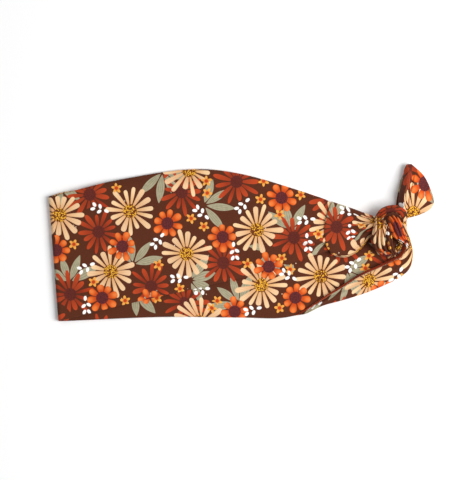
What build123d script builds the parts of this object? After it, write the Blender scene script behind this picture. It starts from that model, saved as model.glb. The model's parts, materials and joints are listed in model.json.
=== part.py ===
from build123d import *
import os
from math import cos, radians, sin, tan

# A knotted headband: a wide tube of double-brushed jersey whose two ends are tied in one
# half knot.  It lies folded flat on a table, the knot at one end and the back fold at the other.
# Frame: millimetres, +X from the back fold to the knot, +Z up, origin on the table under the
# middle of the whole object.

# ---- cloth ----
JERSEY = 0.9                  # one layer of double-brushed jersey
SEAM_SPACE = 0.4              # space between the two panels, held open by the seam allowances
SEAM_ALLOWANCE = 6.0          # width of the overlocked allowance inside each long edge
TAIL_ALLOWANCE = 3.0          # the same round the rim of a tail, where it is trimmed
RUN = 2 * JERSEY + SEAM_SPACE  # thickness of one flattened run of the tube
RUN_GAP = 0.3                 # air between the lower run and the upper run
UPPER_Z = RUN + RUN_GAP       # underside of the upper run
STACK = UPPER_Z + RUN         # top of the upper run

# ---- loop ----
# The loop opens as four equal sides: back fold, two mid bends and the knot's mouth.
FOLD_X = -125.15              # axis of the back fold
MOUTH_X = 85.85               # where both necks enter the knot
BEND_X = (FOLD_X + MOUTH_X) / 2
PIVOT_Z = RUN + RUN_GAP / 2   # height of the fold's axis and of the knot's mouth
OPEN_ANGLE = 60.0             # how far the loop opens
KNOT_ANGLE = OPEN_ANGLE / 2   # the knot keeps to the middle of the two necks
FOLD_PLAY = 2.0               # degrees between the opened upper run and the back fold
CLEAR = 0.3                   # air between parts that move past each other

# ---- outlines of the runs, seen from above ----
UPPER_TOP = [(-126, 42), (-80, 48.4), (-34, 51.7), (0, 46.4), (40, 31.6), (72, 17.4), (86, 10.6)]
UPPER_BOTTOM = [(-126, -42), (-75, -33.5), (-20, -25.5), (48, -12)]
LOBE_BOTTOM = [(48, -12), (66, -14.8), (77, -9.8), (86, 0)]
LOWER_TOP = [(-126, 47), (-70, 45), (-10, 38), (45, 18), (86, -6)]
LOWER_BOTTOM = [(-126, -42.4), (-60, -44.8), (-8, -49.2), (24, -51.6), (48, -46), (70, -41.4), (86, -37.2)]
FOLD_ENDS = (-42.4, 46.0)     # the back fold's ends along Y

# ---- gathers beside the knot ----
NECK_X = 72.0                 # the upper run starts to gather here
NECK_START_Y = (-12.2, 16.8)  # where its two edges are there
NECK_Y = (-1.0, 10.6)         # where they are at the knot's mouth
NECK_TOP = 9.5                # its height at the mouth
LOWER_NECK_Y = -25.5          # middle line of the lower run's gathers, under the knot
LOWER_NECK_START = (23.0, 5.0)  # their width and height at the mouth
LOWER_NECK_END = (11.0, 8.8)  # the same where they turn up into the side column
PLEAT = 2.0                   # height of the pleat that lies over the upper run
PLEAT_EDGE = [(53.5, 17), (53.3, -3), (57, -13)]
ROLL = 2.2                    # height of the lower run's edge where it rolls over itself
ROLL_EDGE = [(36, -48.6), (54, -37.8), (75, -26), (86, -22)]

# ---- knot: the middle line (start, middle, end) and radius of each turn of cloth ----
TURNS = {
    "knot_front_wrap": ([(93, 12, 8), (99.5, 3, 13.8), (106, -9, 7)], 5.2),
    "knot_left_wrap": ([(92, 8, 7), (91.4, -1, 12), (92, -11, 5.5)], 5.0),
    "knot_hood": ([(91.5, 6, 8), (98.5, 12.8, 11), (105.4, 6, 8)], 4.2),
    "knot_middle_strand": ([(96.5, 5, 8), (97.4, -5, 11), (96, -14, 4.5)], 3.6),
    "knot_back_wrap": ([(92, -9, 4.5), (98, -1, 3.6), (104, 9, 5)], 3.6),
    "knot_side_column": ([(101.5, -25, 4.7), (105.3, -13, 6.5), (104, 4, 9)], 4.6),
    "front_tail_root": ([(101.5, 8, 8), (103.8, 9.6, 7), (106, 11.2, 5.6)], 2.6),
    "rear_tail_root": ([(99, 8, 5), (101.5, 12, 3.5), (104, 17, 2.4)], 2.0),
}
NECK_END_X = 101.0            # where the flat lower neck turns up into the side column

# ---- tails ----
TAIL_DIRECTION = 52.3         # degrees from +X, the way the front tail points out of the knot
TAIL_HINGE = (107.7, 13.3)    # where the front tail leaves the knot, seen from above
FRONT_TAIL_Z = 4.5            # underside of the front tail
REAR_TAIL_Z = 0.3             # underside of the rear tail
FRONT_TAIL_SIDE = [(109, 8), (118, 9.8), (126.8, 14.6), (126, 25), (121, 37.6), (113, 43.8)]
FRONT_TAIL_FOLD = [(113, 43.8), (108.6, 37), (104.8, 26), (104, 15)]
REAR_TAIL_SIDE = [(109, 19.5), (115, 26), (114, 33), (109, 37)]
REAR_TAIL_FOLD = [(109, 37), (105.5, 30), (102.6, 19.5)]

FAR = 300.0                   # larger than the object
RIM_POINTS = 32               # corners of the ring inside a tail's rim


def face_between(*edges):
    """The flat face inside a closed ring of splines, joined at their ends by straight lines."""
    curves = [Spline(*points) if len(points) > 2 else Line(*points) for points in edges]
    ring = []
    for curve, following in zip(curves, curves[1:] + curves[:1]):
        ring.append(curve)
        if (curve @ 1 - following @ 0).length > 1e-6:
            ring.append(Line(curve @ 1, following @ 0))
    return make_face(ring)


def slab(face, low, high):
    return extrude(Pos(0, 0, low) * face, amount=high - low)


def between_x(shape, low, high):
    """The part of a shape that lies between two planes across X."""
    window = Pos((low + high) / 2, 0, 0) * Box(high - low, FAR, FAR)
    return shape & window


def wedge_beside(point, lean):
    """Everything on the -X side of a plane along Y through a point (x, z), leaning by an angle."""
    block = Pos(-FAR / 2, 0, 0) * Box(FAR, FAR, FAR)
    return Pos(point[0], 0, point[1]) * Rot(0, lean, 0) * block


def shifted(points, dy):
    return [(x, y + dy) for x, y in points]


def seam_strips(top, bottom, low_x, high_x):
    """The overlocked allowances along the two long edges of a run, inside the tube."""
    top_strip = face_between(top, shifted(top, -SEAM_ALLOWANCE)[::-1])
    bottom_strip = face_between(bottom, shifted(bottom, SEAM_ALLOWANCE)[::-1])
    return [between_x(slab(strip, 0, SEAM_SPACE), low_x, high_x) for strip in (top_strip, bottom_strip)]


def run_half(name, face, edges, z, span, outer_below):
    """Outer panel, inner panel and seam allowances of one half of a run of the tube."""
    below = between_x(slab(face, z, z + JERSEY), *span)
    above = between_x(slab(face, z + JERSEY + SEAM_SPACE, z + RUN), *span)
    seams = [Pos(0, 0, z + JERSEY) * strip for strip in seam_strips(*edges, *span)]
    outer, inner = (below, above) if outer_below else (above, below)
    return {
        f"{name}_outer_panel": outer,
        f"{name}_inner_panel": inner,
        f"{name}_seams": Compound(seams),
    }


def lower_run():
    face = face_between(LOWER_TOP, LOWER_BOTTOM[::-1])
    edges = (LOWER_TOP, LOWER_BOTTOM)
    parts = run_half("lower_back", face, edges, 0, (FOLD_X, BEND_X - CLEAR / 2), True)
    parts.update(run_half("lower_front", face, edges, 0, (BEND_X + CLEAR / 2, MOUTH_X), True))
    room_to_tilt = wedge_beside((MOUTH_X - CLEAR, PIVOT_Z), KNOT_ANGLE)
    for name in ("lower_front_outer_panel", "lower_front_inner_panel", "lower_front_seams"):
        parts[name] = parts[name] & room_to_tilt
    parts["lower_rolled_edge"] = rolled_edge()
    return parts


def rolled_edge():
    """The lower run's long edge, rolled over itself on its way to the knot."""
    face = face_between(ROLL_EDGE, LOWER_BOTTOM[::-1])
    return between_x(slab(face, RUN, RUN + ROLL), ROLL_EDGE[0][0], MOUTH_X - CLEAR)


def upper_run():
    face = face_between(UPPER_TOP, LOBE_BOTTOM[::-1], UPPER_BOTTOM[::-1])
    edges = (UPPER_TOP, UPPER_BOTTOM)
    back = (FOLD_X + CLEAR, BEND_X - CLEAR / 2)
    front = (BEND_X + CLEAR / 2, NECK_X)
    parts = run_half("upper_back", face, edges, UPPER_Z, back, False)
    parts.update(run_half("upper_front", face, edges, UPPER_Z, front, False))
    parts["upper_pleat"] = pleat(face)
    parts["upper_neck"] = upper_neck()
    return parts


def pleat(run_face):
    """The fold of the upper run that lies over it where the cloth starts to gather."""
    outline = Polyline(*PLEAT_EDGE, (NECK_X, -FAR), (NECK_X, FAR), (PLEAT_EDGE[0][0], FAR), close=True)
    return slab(make_face(outline) & run_face, STACK, STACK + PLEAT)


def section_at(x, y_span, z_span):
    """A rectangle across X, from one y and z to another."""
    centre = (x, sum(y_span) / 2, sum(z_span) / 2)
    plane = Plane(centre, x_dir=(0, 1, 0), z_dir=(1, 0, 0))
    return plane * Rectangle(y_span[1] - y_span[0], z_span[1] - z_span[0])


def upper_neck():
    """The upper run gathered from its full width into the knot's mouth."""
    wide = section_at(NECK_X, NECK_START_Y, (UPPER_Z, STACK))
    narrow = section_at(MOUTH_X, NECK_Y, (UPPER_Z, NECK_TOP))
    return loft([wide, narrow], ruled=True) & wedge_beside((MOUTH_X - CLEAR, PIVOT_Z), -KNOT_ANGLE)


def back_fold():
    """The roll of cloth at the back; its top is left open so that the upper run can swing up."""
    radius = PIVOT_Z
    start, end = 90 + OPEN_ANGLE + FOLD_PLAY, 270

    def at(angle):
        return (FOLD_X + radius * cos(radians(angle)), PIVOT_Z + radius * sin(radians(angle)))

    centre = (FOLD_X, PIVOT_Z)
    sector = make_face([
        Line(centre, at(start)),
        ThreePointArc(at(start), at((start + end) / 2), at(end)),
        Line(at(end), centre),
    ])
    return extrude(Plane.XZ.offset(-FOLD_ENDS[1]) * sector, amount=FOLD_ENDS[1] - FOLD_ENDS[0])


def largest(shape):
    return max(shape.solids(), key=lambda solid: solid.volume)


def turn(points, radius):
    """One turn of the knot's cloth: a round tube along an arc through three points."""
    path = ThreePointArc(*points)
    section = Plane(path @ 0, z_dir=path % 0) * Circle(radius)
    return sweep(section, path=path)


def lower_neck():
    """The lower run gathered under the knot, from its full width to the side column."""
    sections = []
    for x, (width, height) in ((MOUTH_X + CLEAR, LOWER_NECK_START), (NECK_END_X, LOWER_NECK_END)):
        y_span = (LOWER_NECK_Y - width / 2, LOWER_NECK_Y + width / 2)
        sections.append(section_at(x, y_span, (0, height)))
    return loft(sections, ruled=True)


def knot():
    """The turns of the half knot, each cut back where an earlier one lies over it."""
    in_front_of_mouth = Pos(MOUTH_X + CLEAR + FAR / 2, 0, FAR / 2) * Box(FAR, FAR, FAR)
    parts = {"lower_neck": lower_neck()}
    taken = parts["lower_neck"]
    for name, (points, radius) in TURNS.items():
        solid = largest((turn(points, radius) & in_front_of_mouth) - taken)
        parts[name] = solid
        taken = taken + solid
    return parts


def tail_panels(name, face, z):
    """The two panels of one pointed tail."""
    return {
        f"{name}_inner_panel": slab(face, z + JERSEY + SEAM_SPACE, z + RUN),
        f"{name}_outer_panel": slab(face, z, z + JERSEY),
        f"{name}_seam": Pos(0, 0, z + JERSEY) * tail_seam(face),
    }


def tail_seam(face):
    """The allowance round the rim of a tail: a ring whose outline is a run of short straight lines."""
    wire = face.face().outer_wire()
    rim = make_face(Polyline(*[wire @ (i / RIM_POINTS) for i in range(RIM_POINTS)], close=True))
    return slab(rim, 0, SEAM_SPACE) - slab(offset(rim, -TAIL_ALLOWANCE), 0, SEAM_SPACE)


def tails():
    front_face = face_between(FRONT_TAIL_SIDE, FRONT_TAIL_FOLD)
    at_hinge = Pos(*TAIL_HINGE, 0) * Rot(0, 0, TAIL_DIRECTION)
    front_face = front_face & at_hinge * Pos(CLEAR + FAR / 2, 0) * Rectangle(FAR, FAR)
    parts = tail_panels("front_tail", front_face, FRONT_TAIL_Z)
    parts.update(tail_panels("rear_tail", face_between(REAR_TAIL_SIDE, REAR_TAIL_FOLD), REAR_TAIL_Z))
    return parts


def main():
    parts = {}
    parts.update(lower_run())
    parts["back_fold"] = back_fold()
    parts.update(upper_run())
    parts.update(knot())
    parts.update(tails())
    os.makedirs("parts", exist_ok=True)
    for name, shape in parts.items():
        export_step(shape, f"parts/{name}.step")
    box = Compound([solid for shape in parts.values() for solid in shape.solids()]).bounding_box()
    print("overall", box.min, box.max)


main()
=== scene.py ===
import json
from math import cos, exp, pi, radians, sin, sqrt

import bmesh
import bpy
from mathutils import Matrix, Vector, noise


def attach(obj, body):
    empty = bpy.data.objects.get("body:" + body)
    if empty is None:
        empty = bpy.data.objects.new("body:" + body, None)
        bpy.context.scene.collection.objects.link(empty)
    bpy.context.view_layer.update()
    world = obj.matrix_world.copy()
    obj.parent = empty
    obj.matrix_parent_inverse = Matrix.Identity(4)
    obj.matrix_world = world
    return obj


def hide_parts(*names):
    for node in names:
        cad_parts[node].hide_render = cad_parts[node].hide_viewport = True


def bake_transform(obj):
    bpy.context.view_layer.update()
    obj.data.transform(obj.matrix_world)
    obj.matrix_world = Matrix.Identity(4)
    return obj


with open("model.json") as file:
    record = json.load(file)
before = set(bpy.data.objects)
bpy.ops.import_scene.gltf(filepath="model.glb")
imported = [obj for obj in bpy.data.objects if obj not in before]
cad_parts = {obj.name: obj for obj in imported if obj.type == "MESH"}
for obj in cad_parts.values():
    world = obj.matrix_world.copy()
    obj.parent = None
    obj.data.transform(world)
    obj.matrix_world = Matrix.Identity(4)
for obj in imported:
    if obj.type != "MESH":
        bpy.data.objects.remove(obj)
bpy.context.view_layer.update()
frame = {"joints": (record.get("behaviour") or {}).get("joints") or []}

MM = 0.001

# ---------------------------------------------------------------------------------------------
# Sizes, in millimetres in the row frame: +X from the back fold to the knot, +Z up
# ---------------------------------------------------------------------------------------------
JOINTS = {joint["name"]: Vector(joint["pos_m"]) / MM for joint in frame["joints"]}
FOLD = JOINTS["loop_open"]

RUN = 2.2                     # thickness of one flattened run of the tube
LOWER_MID = RUN / 2           # height of the middle of the lower run
UPPER_MID = 2 * FOLD.z - LOWER_MID
FOLD_RADIUS = FOLD.z - LOWER_MID  # radius of the middle of the cloth round the back fold
DROOP = 2.3                   # how far the upper run sinks beyond the lower run's long edge
RIDGE = 0.2                   # how much the seam allowance stands proud inside a long edge
CELL = 1.2                    # spacing of the cloth's mesh along the band
SPLIT_X = 20.0                # where the lower run's back piece meets its front piece
LOWER_END_X = 99.0            # both runs end inside the knot
UPPER_END_X = 79.0
LOWER_CELLS = 60              # cells across a run
UPPER_CELLS = 72

# A pressed edge, from its seam inwards: (distance in, share of the half thickness).
RIM = [(0.5, 0.0), (0.12, 0.15), (0.0, 0.42), (0.1, 0.68), (0.35, 0.87), (0.8, 0.97), (1.4, 1.0),
       (2.2, 1.0), (3.2, 1.0), (4.4, 1.0), (5.8, 1.0), (7.4, 1.0)]

# The outlines of the two runs.
UPPER_TOP = [(-126, 40.6), (-110, 43.6), (-80, 48.4), (-34, 51.7), (0, 46.4), (40, 31.6), (72, 17.4),
             (90, 8.5)]
UPPER_BOTTOM = [(-126, -42), (-75, -33.5), (-20, -25.5), (20, -18.6), (50, -11), (90, -3)]
LOWER_TOP = [(-126, 41.4), (-112, 43.6), (-70, 44), (-10, 38), (45, 18), (86, 2), (100, -3)]
LOWER_BOTTOM = [(-126, -42.4), (-60, -44.8), (-8, -49.2), (24, -51.6), (48, -45), (70, -40.6), (100, -28)]


# ---------------------------------------------------------------------------------------------
# Curves
# ---------------------------------------------------------------------------------------------
def smooth(t):
    t = min(1.0, max(0.0, t))
    return t * t * (3 - 2 * t)


def lerp(a, b, t):
    return a + (b - a) * t


def spline(points, t):
    """A point at t, from 0 to 1, on the smooth curve through a list of points."""
    place = min(max(t, 0.0), 1.0) * (len(points) - 1)
    i = min(int(place), len(points) - 2)
    f = place - i
    p1, p2 = Vector(points[i]), Vector(points[i + 1])
    p0 = Vector(points[i - 1]) if i > 0 else 2 * p1 - p2
    p3 = Vector(points[i + 2]) if i + 2 < len(points) else 2 * p2 - p1
    return 0.5 * (2 * p1 + (p2 - p0) * f + (2 * p0 - 5 * p1 + 4 * p2 - p3) * f ** 2
                  + (3 * p1 - p0 - 3 * p2 + p3) * f ** 3)


HALVINGS = 20                 # enough to find a place on an outline to a millionth of its span


def height_on(points, x):
    """The y of an outline at x, for an outline that runs along +X."""
    i = 0
    while i < len(points) - 2 and points[i + 1][0] < x:
        i += 1
    low, high = i / (len(points) - 1), (i + 1) / (len(points) - 1)
    for _ in range(HALVINGS):
        middle = (low + high) / 2
        if spline(points, middle).x < x:
            low = middle
        else:
            high = middle
    return spline(points, (low + high) / 2).y


def patch(bottom, top, left, right):
    """A smooth surface map from (u, v) to (x, y) inside four edges that meet at their ends."""
    def place(u, v):
        rails = lerp(spline(bottom, u), spline(top, u), v)
        ends = lerp(spline(left, v), spline(right, v), u)
        low = lerp(Vector(bottom[0]), Vector(bottom[-1]), u)
        high = lerp(Vector(top[0]), Vector(top[-1]), u)
        return rails + ends - lerp(low, high, v)
    return place


# ---------------------------------------------------------------------------------------------
# Cloth meshes
# ---------------------------------------------------------------------------------------------
RIM_SHARE = 0.45              # a narrow piece's rim takes at most this share of its width


def across(width, cells, rim=1.0):
    """Places from one long edge to the other: (distance from the first, share of the half thickness)."""
    first = [(distance * rim, share) for distance, share in RIM]
    reach = first[-1][0]
    if reach > RIM_SHARE * width:
        first = [(distance * RIM_SHARE * width / reach, share) for distance, share in first]
        reach = first[-1][0]
    middle = [(lerp(reach, width - reach, i / cells), 1.0) for i in range(1, cells)]
    return first + middle + [(width - distance, share) for distance, share in reversed(first)]


def seam_ridge(distance):
    """How far the seam allowance, 5 mm wide, lifts the cloth beside a long edge."""
    rise = smooth((distance - 0.8) / 1.2)
    fall = smooth((distance - 5.5) / 1.5)
    return RIDGE * rise * (1 - fall)


def ripple(x, y, seed, size, depth):
    """Gentle unevenness of cloth that has been laid down by hand."""
    return depth * noise.noise(Vector((x / size, y / size, seed)))


WELD = 3e-6                   # in metres: nearer corners become one
SLIVER = 2e-6                 # in metres: shorter edges are dissolved
SHARP_FLAT = 50               # degrees between faces that stay sharp, on laid cloth
SHARP_ROLLED = 60             # and on rolled cloth


def cloth_piece(name, rings, sharp=SHARP_FLAT):
    """A closed mesh through rings of (point, place on the flat print), none of it below the table.

    The first and last place of a ring are the same point, and the two end rings are closed flat.
    """
    count = len(rings[0])
    points = [Vector((x, y, max(z, 0.0))) * MM for ring in rings for (x, y, z), _ in ring]
    prints = [flat for ring in rings for _, flat in ring]
    faces = []
    for r in range(len(rings) - 1):
        for c in range(count - 1):
            a = r * count + c
            faces.append((a, a + 1, a + count + 1, a + count))
    for start in (0, (len(rings) - 1) * count):
        for c in range(count // 2 - 1):
            near, far = start + c, start + count - 1 - c
            faces.append((near, near + 1, far - 1, far))
    mesh = bpy.data.meshes.new(name)
    mesh.from_pydata(points, [], faces)
    layer = mesh.uv_layers.new(name="cloth")
    for loop in mesh.loops:
        layer.data[loop.index].uv = prints[loop.vertex_index]
    bm = bmesh.new()
    bm.from_mesh(mesh)
    bmesh.ops.remove_doubles(bm, verts=bm.verts, dist=WELD)
    bmesh.ops.dissolve_degenerate(bm, edges=bm.edges, dist=SLIVER)
    bmesh.ops.recalc_face_normals(bm, faces=bm.faces)
    bm.to_mesh(mesh)
    bm.free()
    for polygon in mesh.polygons:
        polygon.use_smooth = True
    mesh.set_sharp_from_angle(angle=radians(sharp))
    piece = bpy.data.objects.new(name, mesh)
    bpy.context.collection.objects.link(piece)
    return piece


# ---------------------------------------------------------------------------------------------
# The two runs of the tube and the back fold
# ---------------------------------------------------------------------------------------------
def face_print(x, y):
    return (x, y)


def lower_print(x, y):
    """The lower run's print, which is 9 mm off near the fold, so it doesn't meet the upper run's."""
    return (x, y - 9 * smooth((-20 - x) / 36))


def behind_fold(x, y):
    """The print carries on round the back fold to the faces that look the other way."""
    return (2 * FOLD.x - pi * FOLD_RADIUS - x, y)


def upper_middle(x, y):
    """Height of the middle of the upper run, which droops where the lower run ends under it."""
    beyond = y - height_on(LOWER_TOP, x) - 0.5
    return UPPER_MID - DROOP * smooth(beyond / 6)


def upper_relief(x, y):
    """Unevenness of the upper run, and the crease that leads to the pleat and deepens towards it."""
    crease_y = lerp(-3.0, -4.6, smooth((x - 14) / 40))
    depth = 2.3 * smooth((x - 12) / 34)
    above = y - crease_y
    if above > 0:
        fold = depth * smooth(above / 1.3) * exp(-above / 9)
    else:
        fold = -0.45 * depth * exp(above / 1.8)
    return fold + ripple(x, y, 3.1, 27, 0.45) + ripple(x, y, 8.4, 11, 0.16)


def lower_relief(x, y):
    """Unevenness of the lower run, and its gathers where it goes into the knot."""
    gather = 1.6 * smooth((x - 84) / 14) * smooth((y + 34) / 8)
    pleats = 0.6 + 0.4 * cos(1.35 * y + 0.05 * x)
    return gather * pleats + ripple(x, y, 5.7, 24, 0.4) + ripple(x, y, 1.9, 10, 0.15)


def run_piece(name, span, outline, middle, relief, cells, prints):
    """One stretch of a flattened run, between two outlines that run along the band."""
    bottom, top = outline
    steps = round((span[1] - span[0]) / CELL)
    rings = []
    for i in range(steps + 1):
        x = lerp(*span, i / steps)
        low, high = bottom(x), top(x)
        upper, lower = [], []
        for distance, share in across(high - low, cells):
            y = low + distance
            lift = relief(x, y) + seam_ridge(min(distance, high - low - distance))
            mid = middle(x, y)
            upper.append(((x, y, mid + share * (RUN / 2 + lift)), prints[0](x, y)))
            lower.append(((x, y, mid - share * RUN / 2), prints[1](x, y)))
        rings.append(upper + lower[::-1])
    return cloth_piece(name, rings)


def lower_outline():
    """The lower run's edges; its bottom edge draws in under the rolled edge."""
    def bottom(x):
        return height_on(LOWER_BOTTOM, x) + 1.2 * smooth((x - 27) / 8)

    def top(x):
        return height_on(LOWER_TOP, x)

    return bottom, top


def upper_outline():
    """The upper run's edges; its top edge draws in under the pleat."""
    def bottom(x):
        return height_on(UPPER_BOTTOM, x)

    def top(x):
        return height_on(UPPER_TOP, x) - 1.5 * smooth((x - 56) / 6)

    return bottom, top


def lower_run():
    def middle(x, y):
        return LOWER_MID

    back = run_piece("lower_run", (FOLD.x, SPLIT_X), lower_outline(), middle, lower_relief, LOWER_CELLS,
                     (lower_print, behind_fold))
    front = run_piece("lower_run_front", (SPLIT_X, LOWER_END_X), lower_outline(), middle, lower_relief,
                      LOWER_CELLS, (face_print, behind_fold))
    return back, front


def upper_run():
    return run_piece("upper_run", (FOLD.x, UPPER_END_X), upper_outline(), upper_middle, upper_relief,
                     UPPER_CELLS, (face_print, behind_fold))


def back_fold():
    """The band turned over at the back, from the lower run up to the upper run."""
    lower, upper = lower_outline(), upper_outline()
    steps = 24
    rings = []
    for i in range(steps + 1):
        angle = lerp(-pi / 2, -3 * pi / 2, i / steps)
        low = lerp(lower[0](FOLD.x), upper[0](FOLD.x), smooth(i / steps))
        high = lerp(lower[1](FOLD.x), upper[1](FOLD.x), smooth(i / steps))
        flat_x = FOLD.x - pi * FOLD_RADIUS * (1 - i / steps)
        outside, inside = [], []
        for distance, share in across(high - low, LOWER_CELLS):
            y = low + distance
            for row, way in ((outside, 1), (inside, -1)):
                radius = FOLD_RADIUS + way * share * RUN / 2
                row.append(((FOLD.x + radius * cos(angle), y, FOLD.z + radius * sin(angle)), (flat_x, y)))
        rings.append(outside + inside[::-1])
    return cloth_piece("back_fold_roll", rings)


# ---------------------------------------------------------------------------------------------
# The pleat of the upper run, gathered into the knot
# ---------------------------------------------------------------------------------------------
PLEAT_LEFT = [(58, -12.8), (54.2, -7), (53.2, 1), (54.3, 9), (57, 16.5), (60, 23)]
PLEAT_BOTTOM = [(58, -12.8), (65, -14.8), (71.5, -13.4), (77.4, -9.6), (83.5, -3.4), (91, 0)]
PLEAT_TOP = [(60, 23), (66, 20.4), (74, 17), (81, 13.8), (91, 9.6)]
PLEAT_RIGHT = [(91, 0), (91, 5), (91, 9.6)]
PLEAT_PRINT = Vector((28.8, 4.8))    # how far the print has slid, because the fold takes up cloth
PLEAT_LENGTH = 36.0           # along the pleat, from its left edge into the knot
PLEAT_STEPS = 26
PLEAT_CELLS = 64
PLEAT_VALLEYS = (0.12, 0.36, 0.62, 0.86)   # where the gathered cloth folds in, across the pleat
TAKEN_IN = 7.0                # cloth hidden in each fold at the knot
RIM_TURN = 1.7                # width of the pleat's lower edge that turns down, seen from above
RIM_STRETCH = 5.0             # print that each millimetre of it takes, because the cloth is steep there


def pleat_folds(v):
    """Rounded ridges with sharp valleys between them, from -0.6 to 0.4."""
    edges = (0.0, *PLEAT_VALLEYS, 1.0)
    for low, high in zip(edges, edges[1:]):
        if v <= high:
            return sin(pi * (v - low) / (high - low)) ** 0.6 - 0.6
    return -0.6


def taken_in(v):
    """Print hidden in the folds below v, less what is hidden below the middle."""
    hidden = sum(smooth((v - valley + 0.035) / 0.07) for valley in PLEAT_VALLEYS)
    return TAKEN_IN * (hidden - len(PLEAT_VALLEYS) / 2)


def pleat():
    place = patch(PLEAT_BOTTOM, PLEAT_TOP, PLEAT_LEFT, PLEAT_RIGHT)
    inward = [(distance / PLEAT_LENGTH, share) for distance, share in RIM[2:]]
    inward += [(lerp(inward[-1][0], 1, i / PLEAT_STEPS), 1.0) for i in range(1, PLEAT_STEPS + 1)]
    rings = []
    for u, end_share in inward:
        width = (place(u, 1) - place(u, 0)).length
        gather = smooth((u - 0.25) / 0.75)
        upper, lower = [], []
        for distance, share in across(width, PLEAT_CELLS, lerp(1.1, 1.5, gather)):
            v = distance / width
            x, y = place(u, v)
            run_top = upper_middle(x, y) + RUN / 2
            crown = 1 - (2 * v - 1) ** 2
            top = lerp(run_top + 2.0, 6.2 + 3.2 * crown, gather)
            bottom = lerp(run_top - 0.5, 2.6, gather)
            top += gather * 3.4 * pleat_folds(v) + ripple(x, y, 4.4, 13, 0.5)
            middle = (top + bottom) / 2
            half = share * end_share * (top - bottom) / 2
            turned = RIM_STRETCH * max(0.0, RIM_TURN - distance)
            flat = Vector((x, y + gather * taken_in(v) - turned)) - PLEAT_PRINT
            upper.append(((x, y, middle + half), flat[:]))
            lower.append(((x, y, middle - half), (-x, y)))
        rings.append(upper + lower[::-1])
    return cloth_piece("pleat_and_neck", rings)


# ---------------------------------------------------------------------------------------------
# Rolled bands of cloth: the lower run's rolled edge and the turns of the knot
# ---------------------------------------------------------------------------------------------
SQUARENESS = 2.5              # of a band's section, where 2 is an oval
LIP_WIDTH = 1.3               # the narrow edge of a rolled band that shows one colour of the print
WOBBLE = 0.35                 # unevenness of a band


def rounded(value):
    """A sine or cosine bent towards 1 or -1, for a section between an oval and a box."""
    return abs(value) ** (2 / SQUARENESS) * (1 if value > 0 else -1)


def band(name, rails, half, origin, turn=0.0, folds=(3, 0.5), steps=48, around=56, phase=0.0, lip=None):
    """A roll of cloth between two rails, gathered lengthwise.

    half holds its half thickness along the way, origin the place on the print under the middle of
    its top at the start, turn the direction of the print, folds the number and height of the
    lengthwise folds, and lip the place on the print that the edge beside the second rail shows.
    """
    left, right = rails
    centres = [(spline(left, i / steps) + spline(right, i / steps)) / 2 for i in range(steps + 1)]
    walked = 0.0
    rings = []
    for i, centre in enumerate(centres):
        t = i / steps
        side = (spline(right, t) - spline(left, t)) / 2
        ahead = (centres[min(i + 1, steps)] - centres[max(i - 1, 0)]).normalized()
        side_way = side.normalized()
        up = side_way.cross(ahead).normalized()
        if up.z < 0:
            up = -up
        thick = spline([(h, 0) for h in half], t).x
        if i:
            walked += (centre - centres[i - 1]).length
        ends = min(1.0, 3.4 * sqrt(max(0.0, min(t, 1 - t)) + 0.004))
        ring, outline = [], []
        for k in range(around):
            angle = -pi / 2 - 2 * pi * k / (around - 1)
            a, b = rounded(cos(angle)), rounded(sin(angle))
            fold = abs(cos(folds[0] * pi * (a + 1) / 2 + phase + 1.2 * t)) - 0.6
            lift = folds[1] * fold * (1 - a * a * 0.6)
            wobble = WOBBLE * noise.noise(centre * 0.16 + Vector((a * 1.5, b * 1.5, len(name))))
            height = b * thick + (lift if b > 0 else 0.4 * lift) * abs(b) + wobble
            outline.append(centre + side * a * ends + up * height * ends)
        arc = [0.0]
        for k in range(1, around):
            arc.append(arc[-1] + (outline[k] - outline[k - 1]).length)
        top = arc[around // 2]
        for k, point in enumerate(outline):
            along, aside = walked, top - arc[k]
            flat = (origin[0] + along * cos(turn) - aside * sin(turn),
                    origin[1] + along * sin(turn) + aside * cos(turn))
            beyond = (point - centre).dot(side_way) - side.length * ends + LIP_WIDTH
            if lip and beyond > 0 and (point - centre).dot(up) > 0:
                flat = (lip[0] + 0.012 * along, lip[1] + 0.1 * beyond)
            ring.append((point, flat))
        rings.append(ring)
    return cloth_piece(name, rings, SHARP_ROLLED)


ROLL_OUTER = [(27, -51.6), (37, -50.2), (48, -45.9), (60, -43.5), (74, -40.5), (88, -36.2), (101, -31),
              (108.4, -25), (110.4, -17.6), (110, -11.5), (108.6, -5), (107, 1), (105, 7)]
ROLL_INNER = [(29, -50.4), (39.5, -45.8), (51, -39.2), (62, -33.4), (74, -26.9), (86, -22.4), (95, -18.9),
              (101.3, -15.8), (103.9, -12), (103.4, -7.5), (102.2, -2), (101.4, 2), (101, 6)]
ROLL_TOP = [2.6, 4.0, 5.4, 6.4, 7.0, 7.8, 9.0, 10.2, 11.0, 11.2, 11.2, 10.6, 8.4]
OUTER_SHARE = 0.42            # height of each rail, as a share of the roll's top
INNER_SHARE = 0.6             # the inner one is higher, because that edge stands up
ROLL_DAISY = (9, -29)         # the cream daisy of the print that the roll shows, and the cloth before it
BEFORE_DAISY = 56
RUST_PETAL = (-66.2, -18.4)   # a place on a rust petal of the print


def rolled_edge():
    rails = [[(x, y, top * share) for (x, y), top in zip(edge, ROLL_TOP)]
             for edge, share in ((ROLL_OUTER, OUTER_SHARE), (ROLL_INNER, INNER_SHARE))]
    return band("rolled_edge_and_column", rails, [top / 2 - 0.05 for top in ROLL_TOP],
                (ROLL_DAISY[0] - BEFORE_DAISY, ROLL_DAISY[1]), folds=(2, 1.2), steps=110, around=64,
                lip=RUST_PETAL)


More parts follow.
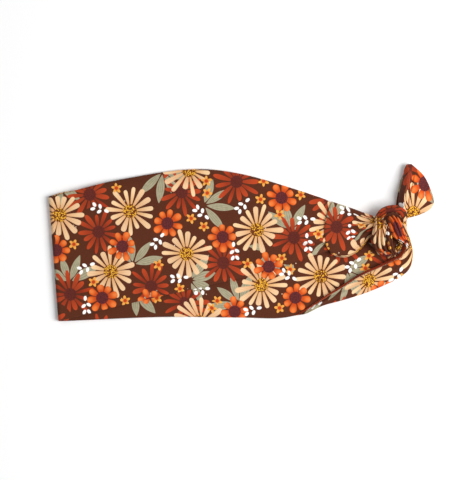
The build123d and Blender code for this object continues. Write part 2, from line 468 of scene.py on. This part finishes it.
# The turns of the knot: two rails, in row millimetres, and the other settings of band().
TURNS = {
    "front_wrap": dict(
        rails=([(92.8, 10.5, 6), (93.2, 8, 9.6), (94.8, 4.2, 12.8), (96.4, -0.6, 12.8),
                (99.4, -5, 11.2), (104, -9.2, 9.6), (107, -12.5, 7.6)],
               [(100, 12.5, 6), (101.8, 9.8, 9.8), (104.2, 5.4, 12.4), (105.8, 0.4, 11.8),
                (107, -3.4, 10.6), (108.4, -7, 9.4), (109.6, -11.5, 7.6)]),
        half=[2.6, 3.4, 5.2, 5, 3.8, 2.8, 2], origin=(-20.5, 17.5), turn=-1.1, folds=(4, 2.6), phase=0.9),
    "left_wrap": dict(
        rails=([(88.4, 10.6, 6), (86.9, 6.8, 9), (85.3, 1.8, 10.6), (83.6, -4, 10), (84.6, -8.8, 7.8),
                (88.5, -13.4, 5), (95, -17, 2.4)],
               [(94, 11, 7), (95, 7, 10.6), (95.6, 2, 12), (95.8, -4, 11.4), (96.4, -8.5, 8.6),
                (98.6, -11.4, 5.6), (102, -13.8, 2.4)]),
        half=[2.4, 3.4, 4.2, 4.2, 3.6, 2.8, 1.8], origin=(8, 14), turn=-1.5, folds=(4, 2.8), phase=0.2),
    "middle_strand": dict(
        rails=([(93.4, 6, 10.6), (93.2, 1, 13), (93.4, -4, 13), (94.2, -9, 11),
                (96, -13.5, 7.2), (98, -16, 3.4)],
               [(97.2, 5.5, 11), (97.4, 0.5, 13.2), (97.6, -5, 12.8), (98, -9.5, 10.8),
                (99.8, -13, 7.2), (102, -15, 3.4)]),
        half=[2, 2.6, 2.9, 2.8, 2.4, 1.8], origin=(-30, 28), turn=-1.5, folds=(2, 1.6)),
    "hood": dict(
        rails=([(87.4, 6.6, 6), (88.4, 10.9, 7.8), (91.3, 14, 9), (95, 16.2, 9.6), (99.4, 16.9, 9.8),
                (103.5, 16, 9.4), (106.9, 13.6, 8.8), (108, 10, 8), (107.4, 6.5, 7)],
               [(91, 6.2, 8), (91.8, 9.6, 10.6), (93.6, 11.8, 12.4), (96.4, 13, 13.4), (99.6, 13.2, 13.6),
                (102.6, 12.4, 13.2), (104.8, 10.4, 12.2), (105.2, 7.4, 10.5), (104, 5, 8.5)]),
        half=[1.5, 1.8, 2.0, 2.0, 2.0, 2.0, 1.9, 1.8, 1.5], origin=(-110, 21), folds=(2, 1.6)),
    "inner_hood": dict(
        rails=([(89.4, 5, 8), (90.4, 8.6, 10.6), (93, 11.3, 12.2), (96.6, 12.4, 13), (100, 12.2, 13.2),
                (103, 10.8, 12.8), (104.8, 8, 11.4), (105.4, 4.6, 9.6)],
               [(92.4, 4, 9), (93.2, 7, 11.4), (95, 8.9, 12.8), (97.4, 9.8, 13.4), (99.8, 9.7, 13.6),
                (101.8, 8.6, 13.2), (103, 6.4, 12), (103.4, 3.6, 10)]),
        half=[1.4, 1.5, 1.5, 1.5, 1.5, 1.5, 1.4, 1.2], origin=(-76, -2), turn=1.1, folds=(2, 1.6)),
    "cavity_fold": dict(
        rails=([(92, -16.5, 1.6), (96.5, -13.6, 3.6), (101, -9.6, 5.6), (103.4, -4.5, 7)],
               [(96, -18.6, 1.6), (100, -15, 3.6), (104, -11.4, 5.6), (106, -6, 7)]),
        half=[1.6, 1.9, 1.9, 1.6], origin=(52, 2), turn=0.4, folds=(2, 1.6)),
    "back_wrap": dict(
        rails=([(86, -4, 3), (90, 4, 3), (96, 11, 3.2), (103, 14.5, 4.6)],
               [(97, -19.5, 2.6), (105, -14, 2.8), (108, -2, 3.2), (109, 9, 4.6)]),
        half=[2.2, 2.7, 2.9, 2.6], origin=(-60, -20), turn=0.7, folds=(3, 1.2)),
}


# ---------------------------------------------------------------------------------------------
# The two pointed tails
# ---------------------------------------------------------------------------------------------
# Each tail's left and right rails, from the knot to its tip.
FRONT_TAIL = (
    [(105.0, 9.4, 7.6), (104.4, 14.4, 8.2), (104.1, 19.5, 8.6), (105, 25, 8.8), (106.9, 30.5, 8.4),
     (108.6, 36, 7.4), (110, 41, 6), (111.8, 43.7, 4.6)],
    [(106.8, 7.6, 7.2), (113, 8.6, 5.2), (119.4, 10.1, 3), (125.4, 13, 1.6), (128, 17.8, 1.3),
     (126.6, 25.5, 1.3), (122.6, 35.4, 1.8), (114.8, 43.6, 4)],
)
REAR_TAIL = (
    [(101.5, 11.5, 3.4), (102.5, 17, 2.4), (104, 23.5, 1.8), (105.7, 29.6, 1.6), (107.2, 34, 1.5),
     (109, 37.4, 1.4)],
    [(105, 10, 3.4), (109.5, 15, 2.2), (113.5, 20.5, 1.6), (115, 27, 1.4), (113.6, 32.5, 1.4),
     (110, 37.4, 1.4)],
)
TAIL_MOTIF = Vector((122.6, 29.8))   # where the tail's orange flower lies
TAIL_FLOWER = Vector((-81, 4))       # the same flower on the flat print
TAIL_LENGTH = 40.0
TAIL_STEPS = 44
TAIL_CELLS = 26
TIP_WIDTH = 0.5
REAR_PRINT = Vector((-160, 6))       # how far the rear tail's print is moved
ROLL_CREST = 3.4              # from a tail's left edge to the crest of the cloth that turns over there


def tail(name, rails, roll, prints):
    """A pointed tail between two rails; roll is the height of the turned-over left edge."""
    left, right = rails
    ends = [(distance / TAIL_LENGTH, share) for distance, share in RIM[2:]]
    ways = [(lerp(0, 1 - ends[-1][0], i / TAIL_STEPS), 1.0) for i in range(TAIL_STEPS)]
    ways += [(1 - distance, share) for distance, share in reversed(ends)]
    rings = []
    for t, end_share in ways:
        a, b = spline(left, t), spline(right, t)
        width = max((b - a).length, TIP_WIDTH)
        fade = smooth(t / 0.15) * (1 - smooth((t - 0.72) / 0.28))
        upper, lower = [], []
        for distance, share in across(width, TAIL_CELLS):
            v = distance / width
            x, y, _ = lerp(a, b, v)
            crest = exp(-((distance - ROLL_CREST) / 2.0) ** 2)
            edge = 1.5 * exp(-distance / 1.6)
            valley = 0.8 * exp(-((distance - 6.6) / 1.2) ** 2)
            middle = lerp(a.z, b.z, 1 - (1 - v) ** 1.5)
            middle += roll * fade * (crest - edge - valley) + fade * ripple(x, y, 6.3, 9, 0.9)
            half = share * end_share * RUN / 2
            upper.append(((x, y, middle + half), prints(x, y, distance)))
            lower.append(((x, y, middle - half), (-x, y)))
        rings.append(upper + lower[::-1])
    return cloth_piece(name, rings)


def front_tail():
    def prints(x, y, distance):
        """The print of the front tail, 9 mm of it hidden in the fold at its left edge."""
        hidden = 9 * (1 - smooth((distance - ROLL_CREST) / 1.6))
        return (x - hidden - TAIL_MOTIF.x + TAIL_FLOWER.x, 0.82 * (y - TAIL_MOTIF.y) + TAIL_FLOWER.y)

    return tail("front_tail_leaf", FRONT_TAIL, 2.8, prints)


def rear_tail():
    def prints(x, y, distance):
        return (x + REAR_PRINT.x, y + REAR_PRINT.y)

    return tail("rear_tail_leaf", REAR_TAIL, 0.2, prints)


# ---------------------------------------------------------------------------------------------
# Printed jersey
# ---------------------------------------------------------------------------------------------
def colour(red, green, blue):
    """A linear colour from 0-255 display values."""
    def linear(value):
        value /= 255
        return value / 12.92 if value <= 0.04045 else ((value + 0.055) / 1.055) ** 2.4
    return (linear(red), linear(green), linear(blue), 1.0)


TILE_MIN = Vector((-128, -52))
TILE = Vector((214, 104))

# Motifs of the print: x, y on the flat cloth in millimetres, and the direction they are turned to in
# degrees. The print repeats after TILE. A motif reaches as far from its centre as its radius says.
CREAM_RADIUS = 18
RUST_RADIUS = 17
ORANGE_RADIUS = 11
STAR_RADIUS = 4.6
SPRIG_RADIUS = 8
LEAF_RADIUS = 23
CREAM_DAISIES = [(-121, 28, 10), (-74, 27, 40), (-90, -12, 75), (-39, -4, 20), (9, 8, 55),
                 (-33, 51, 0), (9, -29, 30), (49, -26, 5), (60, 8, 35)]
RUST_DAISIES = [(-100, 40, 0), (-96, 15, 25), (-118, -25, 50), (-64, -24, 15), (-39, 37, 70),
                (-15, -12, 35), (-2, 41, 10), (33, 1, 20), (59, 25, 60), (-42, -43, 5), (65, -5, 45),
                (80, -45, 20)]
ORANGE_FLOWERS = [(-125, 5, 15), (-81, 4, 40), (-50, 17, 5), (-97, -29, 30), (-14, 5, 20), (27, 28, 0),
                  (15, -17, 35), (31, -39, 10), (-10, -45, 25), (-65, -35, 45), (78, 12, 20),
                  (60, 47, 10)]
STARS = [(-82, 43), (-113, 8), (-102, -18), (-82, -32), (-22, 43), (-22, 35), (-34, 19), (-26, 13),
         (-58, -10), (-45, -27), (-21, -37), (-25, -42), (-61, -41), (16, 40), (13, 28), (40, 29),
         (25, 17), (1, -14), (24, -12), (29, -20), (20, -45), (49.5, 2), (82, -15), (79, -23),
         (72, 32), (-110, 48)]
SPRIGS = [(-94, 30, -25), (-106, -8, 20), (-108, -33, 90), (-57, 6, 45), (-27, 22, -45), (-45, -20, 0),
          (1, 25, 40), (-7, -5, 90), (42, 12, 0), (42, -3, 90), (27.5, -24, -35), (2, -45, 10),
          (-31, -31, 20), (71.5, -20, 35), (66, 40, 60)]
LEAVES = [(-50.5, 51.5, 200), (-118, -17, 5), (-75, -8.5, -10), (-25, 27, -72), (22.6, -5, 155),
          (31, 6, -5), (-38, -22, -90), (-6.6, -40, 40), (-75.5, -35, -110), (58, -2, 195),
          (66.8, -23.4, -110), (-122, 51, 180), (70, 45, 200)]


class Shader:
    """Short names for the shader nodes of one material."""

    def __init__(self, tree):
        self.tree = tree

    def node(self, kind, inputs=(), **settings):
        node = self.tree.nodes.new("ShaderNode" + kind)
        for name, value in settings.items():
            setattr(node, name, value)
        for socket, value in (inputs.items() if isinstance(inputs, dict) else enumerate(inputs)):
            if isinstance(value, bpy.types.NodeSocket):
                self.tree.links.new(value, node.inputs[socket])
            elif value is not None:
                node.inputs[socket].default_value = value
        return node

    def math(self, operation, *values, clamp=False):
        return self.node("Math", values, operation=operation, use_clamp=clamp).outputs[0]

    def vector(self, operation, *values):
        node = self.node("VectorMath", values, operation=operation)
        return node.outputs["Value" if operation in ("LENGTH", "DISTANCE", "DOT_PRODUCT") else "Vector"]

    def times(self, a, b):
        return self.math("MULTIPLY", a, b)

    def less(self, a, b):
        return self.math("LESS_THAN", a, b)

    def mix_node(self, kind, factor, a, b):
        """A mix node of colours or vectors, whose sockets are found by identifier."""
        node = self.tree.nodes.new("ShaderNodeMix")
        node.data_type, suffix = kind
        for name, value in (("Factor_Float", factor), ("A_" + suffix, a), ("B_" + suffix, b)):
            socket = next(s for s in node.inputs if s.identifier == name)
            if isinstance(value, bpy.types.NodeSocket):
                self.tree.links.new(value, socket)
            else:
                socket.default_value = value
        return next(s for s in node.outputs if s.identifier == "Result_" + suffix)

    def mix(self, factor, a, b):
        """Colour a where the factor is 0, colour b where it is 1."""
        return self.mix_node(("RGBA", "Color"), factor, a, b)

    def pick(self, mask, a, b):
        """Vector a where the mask is 0, vector b where it is 1."""
        return self.mix_node(("VECTOR", "Vector"), mask, a, b)

    def split(self, vector):
        return self.node("SeparateXYZ", (vector,)).outputs

    def join(self, x, y, z=0.0):
        return self.node("CombineXYZ", (x, y, z)).outputs[0]

    def noise(self, vector, scale, detail=2.0):
        node = self.node("TexNoise", {"Vector": vector, "Scale": scale, "Detail": detail})
        return node.outputs["Fac"]

    def ramp(self, value, low, high):
        """0 below low, 1 above high, smooth between."""
        node = self.node("MapRange", (value, low, high, 0.0, 1.0), interpolation_type="SMOOTHSTEP")
        return node.outputs[0]


TURN_SCALE = 10.0     # a motif's direction rides in the z of its local place, in tens of radians


def local_places(shader, wrapped, motifs, reach):
    """The place relative to the motif that is within reach; its z holds the motif's direction."""
    found = (400.0, 0.0, 0.0)
    for x, y, *turned in motifs:
        shift_x = int(min(x - TILE_MIN.x, TILE_MIN.x + TILE.x - x) < reach)
        shift_y = int(min(y - TILE_MIN.y, TILE_MIN.y + TILE.y - y) < reach)
        if shift_x and x - TILE_MIN.x < TILE.x / 2:
            x += TILE.x
        if shift_y and y - TILE_MIN.y < TILE.y / 2:
            y += TILE.y
        direction = radians(turned[0] % 360) if turned else 0.02 * abs(x + 3 * y)
        away = shader.vector("SUBTRACT", wrapped[shift_x, shift_y], (x, y, -direction / TURN_SCALE))
        inside = shader.less(shader.vector("LENGTH", away), reach)
        found = shader.pick(inside, found, away)
    return found


def polar(shader, place):
    """Radius, angle and seed of a local place, turned to the motif's direction."""
    x, y, z = shader.split(place)
    flat = shader.join(x, y)
    radius = shader.vector("LENGTH", flat)
    angle = shader.math("SUBTRACT", shader.math("ARCTAN2", y, x), shader.times(z, TURN_SCALE))
    return radius, angle, z


# How a petal widens from its base, and how bluntly it ends.
PETAL_FORMS = {"club": (0.5, 14.0), "point": (0.6, 3.0), "spoon": (0.9, 4.0), "star": (0.35, 2.2)}


def petals(shader, place, count, inner, outer, width, form, uneven=0.3, only=None):
    """The petals round a centre: mask, place along, place aside, random tint, distance from the centre.

    width is half a petal's, uneven how much petals differ, and only leaves out all but the first few.
    """
    radius, angle, seed = polar(shader, place)
    sector = shader.math("WRAP", shader.times(angle, count / (2 * pi)), float(count), 0.0)
    index = shader.math("FLOOR", sector)
    random = shader.node("TexWhiteNoise", (shader.join(index, seed, 0.0),), noise_dimensions="3D")
    rand_x, rand_y, rand_z = shader.split(random.outputs["Color"])
    jitter = shader.math("MULTIPLY_ADD", rand_x, 0.5 * uneven, -0.5 - 0.25 * uneven)
    swing = shader.times(shader.math("ADD", shader.math("FRACT", sector), jitter), 2 * pi / count)
    aside = shader.times(radius, shader.math("SINE", swing))
    along = shader.times(radius, shader.math("COSINE", swing))
    length = shader.math("MULTIPLY_ADD", rand_y, uneven * (outer - inner), (1 - uneven) * (outer - inner))
    way = shader.math("DIVIDE", shader.math("SUBTRACT", along, inner), length, clamp=True)
    if form == "lance":
        profile = shader.math("POWER", shader.math("SINE", shader.times(way, pi)), 0.85)
    else:
        rise, blunt = PETAL_FORMS[form]
        fall = shader.math("SQRT", shader.math("SUBTRACT", 1.0, shader.math("POWER", way, blunt)))
        profile = shader.times(shader.math("POWER", way, rise), fall)
    scale = shader.math("MULTIPLY_ADD", rand_z, width * uneven, width * (1 - uneven / 2))
    breadth = shader.times(profile, scale)
    side = shader.math("ABSOLUTE", aside)
    mask = shader.less(side, breadth)
    if only is not None:
        mask = shader.times(mask, shader.less(index, only))
    share = shader.math("DIVIDE", aside, shader.math("MAXIMUM", breadth, 0.05))
    return mask, way, share, rand_z, radius


def veins(shader, share, way, lines, strength):
    """Thin lines along a petal, stronger towards its base."""
    wave = shader.math("ABSOLUTE", shader.math("SINE", shader.times(share, lines * pi / 2)))
    thin = shader.math("SUBTRACT", 1.0, shader.ramp(wave, 0.12, 0.6))
    return shader.times(thin, shader.math("MULTIPLY_ADD", way, -0.6 * strength, strength))


# The painters lay one kind of motif each over the colour below it.
def paint_ground(shader, base, grain):
    result = shader.mix(shader.ramp(grain, 0.3, 0.7), colour(74, 31, 12), colour(94, 43, 20))
    dots = shader.node("TexVoronoi", {"Vector": base, "Scale": 0.13}, feature="F1")
    dot = shader.less(dots.outputs["Distance"], 0.055)
    return shader.mix(dot, result, colour(214, 186, 156))


def paint_leaves(shader, below, wrapped, brush):
    place = local_places(shader, wrapped, LEAVES, LEAF_RADIUS)
    mask, way, share, _, _ = petals(shader, place, 9, 2.0, 22.5, 2.9, "lance", 0.3, only=4)
    tone = shader.mix(brush, colour(142, 136, 108), colour(188, 180, 150))
    tone = shader.mix(veins(shader, share, way, 4, 0.85), tone, colour(112, 98, 74))
    return shader.mix(mask, below, tone)


def paint_rust_daisies(shader, below, wrapped, grain):
    place = local_places(shader, wrapped, RUST_DAISIES, RUST_RADIUS)
    mask, way, share, tint, radius = petals(shader, place, 13, 2.5, 17, 2.1, "point", 0.4)
    tone = shader.mix(shader.ramp(way, 0.1, 1.0), colour(134, 38, 13), colour(184, 60, 22))
    tone = shader.mix(tint, tone, shader.mix(0.5, tone, colour(196, 76, 32)))
    tone = shader.mix(veins(shader, share, way, 4, 0.75), tone, colour(104, 28, 12))
    edge = shader.math("MULTIPLY_ADD", grain, 2.2, 3.1)
    core = shader.mix(shader.ramp(grain, 0.4, 0.62), colour(74, 22, 16), colour(110, 42, 30))
    return shader.mix(shader.less(radius, edge), shader.mix(mask, below, tone), core)


def paint_cream_daisies(shader, below, wrapped, grain, flat):
    place = local_places(shader, wrapped, CREAM_DAISIES, CREAM_RADIUS)
    mask, way, share, tint, radius = petals(shader, place, 15, 3.0, 18, 1.75, "club", 0.36)
    tone = shader.mix(shader.ramp(way, 0.0, 0.9), colour(228, 168, 104), colour(250, 213, 164))
    tone = shader.mix(tint, tone, shader.mix(0.5, tone, colour(226, 180, 140)))
    tone = shader.mix(veins(shader, share, way, 3, 0.6), tone, colour(166, 104, 66))
    edge = shader.math("MULTIPLY_ADD", grain, 3.4, 2.9)
    stipple = shader.node("TexVoronoi", {"Vector": flat, "Scale": 1.15}, feature="F1").outputs["Distance"]
    core = shader.mix(shader.ramp(stipple, 0.36, 0.56), colour(246, 182, 52), colour(104, 46, 16))
    return shader.mix(shader.less(radius, edge), shader.mix(mask, below, tone), core)


def paint_orange_flowers(shader, below, wrapped, grain):
    place = local_places(shader, wrapped, ORANGE_FLOWERS, ORANGE_RADIUS)
    mask, way, share, _, radius = petals(shader, place, 8, 1.0, 10.6, 3.5, "spoon", 0.24)
    aside = shader.math("ABSOLUTE", share)
    tone = shader.mix(shader.ramp(way, 0.25, 0.95), colour(198, 68, 10), colour(236, 106, 26))
    shine = shader.times(shader.ramp(aside, 0.75, 0.25), shader.ramp(way, 0.45, 0.8))
    tone = shader.mix(shader.times(shine, 0.6), tone, colour(240, 138, 72))
    rim = shader.ramp(aside, 0.72, 1.0)
    tone = shader.mix(shader.times(rim, 0.6), tone, colour(160, 50, 16))
    tone = shader.mix(veins(shader, share, way, 5, 0.5), tone, colour(168, 52, 16))
    edge = shader.math("MULTIPLY_ADD", grain, 1.8, 3.2)
    core = shader.mix(shader.ramp(grain, 0.45, 0.6), colour(66, 20, 26), colour(120, 46, 44))
    return shader.mix(shader.less(radius, edge), shader.mix(mask, below, tone), core)


def paint_stars(shader, below, wrapped):
    place = local_places(shader, wrapped, STARS, STAR_RADIUS)
    mask, way, _, _, radius = petals(shader, place, 5, -0.3, 3.9, 1.35, "star", 0.15)
    tone = shader.mix(shader.ramp(way, 0.2, 0.7), colour(214, 112, 34), colour(240, 168, 72))
    return shader.mix(shader.less(radius, 1.15), shader.mix(mask, below, tone), colour(190, 62, 18))


# The buds of a sprig: x, y and direction, as if the sprig lay along +X.
BUDS = [(-4.4, 1.5, 145), (-4.4, -1.5, 215), (-0.4, 1.7, 125), (0.2, -1.7, 235), (4.6, 0.3, 175)]


def paint_sprigs(shader, below, wrapped, grain):
    place = local_places(shader, wrapped, SPRIGS, SPRIG_RADIUS)
    radius, angle, _ = polar(shader, place)
    turned = shader.join(shader.times(radius, shader.math("COSINE", angle)),
                         shader.times(radius, shader.math("SINE", angle)))
    buds = 0.0
    for x, y, direction in BUDS:
        settings = {"Vector": turned, "Location": (x, y, 0), "Rotation": (0, 0, radians(direction)),
                    "Scale": (1.65, 1.05, 1)}
        oval = shader.node("Mapping", settings, vector_type="TEXTURE").outputs[0]
        buds = shader.math("MAXIMUM", buds, shader.less(shader.vector("LENGTH", oval), 1.0))
    return shader.mix(buds, below, shader.mix(grain, colour(250, 246, 240), colour(255, 254, 252)))


def print_colour(shader, flat):
    """The floral print: leaves, daisies, orange flowers, stars and sprigs on a dark ground."""
    wrapped = {}
    for i in (0, 1):
        for j in (0, 1):
            low = Vector((TILE_MIN.x + i * TILE.x / 2, TILE_MIN.y + j * TILE.y / 2, -1))
            high = (low.x + TILE.x, low.y + TILE.y, 1)
            wrapped[i, j] = shader.vector("WRAP", flat, high, low[:])
    grain = shader.noise(flat, 2.2, 3.0)
    brush = shader.noise(flat, 0.45, 2.0)
    result = paint_ground(shader, wrapped[0, 0], grain)
    result = paint_leaves(shader, result, wrapped, brush)
    result = paint_rust_daisies(shader, result, wrapped, grain)
    result = paint_cream_daisies(shader, result, wrapped, grain, flat)
    result = paint_orange_flowers(shader, result, wrapped, grain)
    result = paint_stars(shader, result, wrapped)
    return paint_sprigs(shader, result, wrapped, grain)


def printed_jersey():
    """Double-brushed knit cloth with the print on it: soft fibres, fine wales and a low sheen."""
    material = bpy.data.materials.new("printed_jersey")
    material.use_nodes = True
    tree = material.node_tree
    shader = Shader(tree)
    surface = tree.nodes["Principled BSDF"]
    flat = shader.node("UVMap", uv_map="cloth").outputs[0]
    wide = shader.noise(flat, 0.05, 2.0)
    knit = shader.noise(flat, 3.2, 2.0)
    inked = print_colour(shader, flat)
    shaded = shader.mix(shader.ramp(wide, 0.3, 0.7), inked, shader.mix(0.08, inked, colour(40, 20, 12)))
    fibres = shader.mix(shader.times(shader.ramp(knit, 0.5, 0.8), 0.1), shaded, colour(206, 160, 130))
    tree.links.new(fibres, surface.inputs["Base Color"])
    wales = shader.node("TexWave", {"Vector": flat, "Scale": 0.62, "Distortion": 1.2, "Detail": 1.0},
                        wave_type="BANDS", bands_direction="Y").outputs["Fac"]
    height = shader.math("MULTIPLY_ADD", wales, 0.35, knit)
    bump = shader.node("Bump", {"Strength": 0.35, "Distance": 0.0002, "Height": height})
    tree.links.new(bump.outputs[0], surface.inputs["Normal"])
    surface.inputs["Roughness"].default_value = 0.82
    surface.inputs["Specular IOR Level"].default_value = 0.18
    surface.inputs["Sheen Weight"].default_value = 0.04
    surface.inputs["Sheen Roughness"].default_value = 0.45
    return material


# Lights: place in metres, size in metres, power in watts.
LIGHTS = {
    "key": ((0.80, -0.16, 0.95), 0.8, 17.5),
    "fill": ((-0.5, 0.7, 1.2), 1.4, 2.0),
}
SKY = 0.41                    # strength of the even light from all round


def stage():
    bpy.ops.mesh.primitive_plane_add(size=6, location=(0, 0, 0))
    floor = bpy.context.object
    floor.name = "floor"
    material = bpy.data.materials.new("white_table")
    material.use_nodes = True
    surface = material.node_tree.nodes["Principled BSDF"]
    surface.inputs["Base Color"].default_value = (0.93, 0.93, 0.93, 1)
    surface.inputs["Roughness"].default_value = 0.9
    surface.inputs["Specular IOR Level"].default_value = 0.1
    floor.data.materials.append(material)

    world = bpy.data.worlds.new("studio")
    bpy.context.scene.world = world
    world.use_nodes = True
    world.node_tree.nodes["Background"].inputs["Color"].default_value = (1, 1, 1, 1)
    world.node_tree.nodes["Background"].inputs["Strength"].default_value = SKY

    for name, (place, size, power) in LIGHTS.items():
        data = bpy.data.lights.new(name, "AREA")
        data.size = size
        data.energy = power
        light = bpy.data.objects.new(name, data)
        bpy.context.collection.objects.link(light)
        light.location = place
        light.rotation_euler = (-Vector(place)).to_track_quat("-Z", "Y").to_euler()
    bpy.context.scene.view_settings.view_transform = "Standard"


CAMERA_HEIGHT = 1.4           # metres above the table
VIEW_HEIGHT = 0.320           # metres of the table that the picture shows from top to bottom
VIEW_CENTRE = (-0.0107, 0.0028)
CAMERA_ROLL = -4.49           # degrees


def camera():
    """Straight above, rolled so that the band lies as it was laid, seen through a long lens."""
    data = bpy.data.cameras.new("camera")
    eye = bpy.data.objects.new("camera", data)
    bpy.context.collection.objects.link(eye)
    data.sensor_fit = "VERTICAL"
    data.sensor_height = 24.0
    data.lens = data.sensor_height * CAMERA_HEIGHT / VIEW_HEIGHT
    eye.location = (*VIEW_CENTRE, CAMERA_HEIGHT)
    eye.rotation_euler = (0, 0, radians(CAMERA_ROLL))
    bpy.context.scene.camera = eye


KNOT_NODES = {
    "front_wrap": "knot_front_wrap",
    "left_wrap": "knot_left_wrap",
    "middle_strand": "knot_middle_strand",
    "hood": "knot_hood",
    "back_wrap": "knot_back_wrap",
}


def declare(piece, material):
    """The piece's material."""
    piece.data.materials.append(material)


def make_runs(material):
    back, front = lower_run()
    declare(back, material)
    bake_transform(back)
    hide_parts("lower_back_outer_panel", "lower_back_inner_panel", "lower_back_seams")
    declare(front, material)
    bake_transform(front)
    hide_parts("lower_front_outer_panel", "lower_front_inner_panel", "lower_front_seams",
                "lower_neck")

    upper = upper_run()
    declare(upper, material)
    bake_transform(upper)
    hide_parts("upper_back_outer_panel", "upper_back_inner_panel", "upper_back_seams",
                "upper_front_outer_panel", "upper_front_inner_panel", "upper_front_seams")

    roll = back_fold()
    declare(roll, material)
    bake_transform(roll)
    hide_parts("back_fold")


def make_knot(material):
    neck = pleat()
    declare(neck, material)
    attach(neck, "upper_front")
    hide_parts("upper_pleat", "upper_neck")

    edge = rolled_edge()
    declare(edge, material)
    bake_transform(edge)
    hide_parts("lower_rolled_edge", "knot_side_column")

    for name, turn in TURNS.items():
        piece = band(name, **turn)
        declare(piece, material)
        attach(piece, "knot")
        if name in KNOT_NODES:
            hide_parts(KNOT_NODES[name])


def make_tails(material):
    front = front_tail()
    declare(front, material)
    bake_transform(front)
    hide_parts("front_tail_outer_panel", "front_tail_inner_panel", "front_tail_seam",
                "front_tail_root")

    rear = rear_tail()
    declare(rear, material)
    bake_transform(rear)
    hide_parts("rear_tail_outer_panel", "rear_tail_inner_panel", "rear_tail_seam",
                "rear_tail_root")


def main():
    camera()
    stage()
    jersey = printed_jersey()
    make_runs(jersey)
    make_knot(jersey)
    make_tails(jersey)


main()
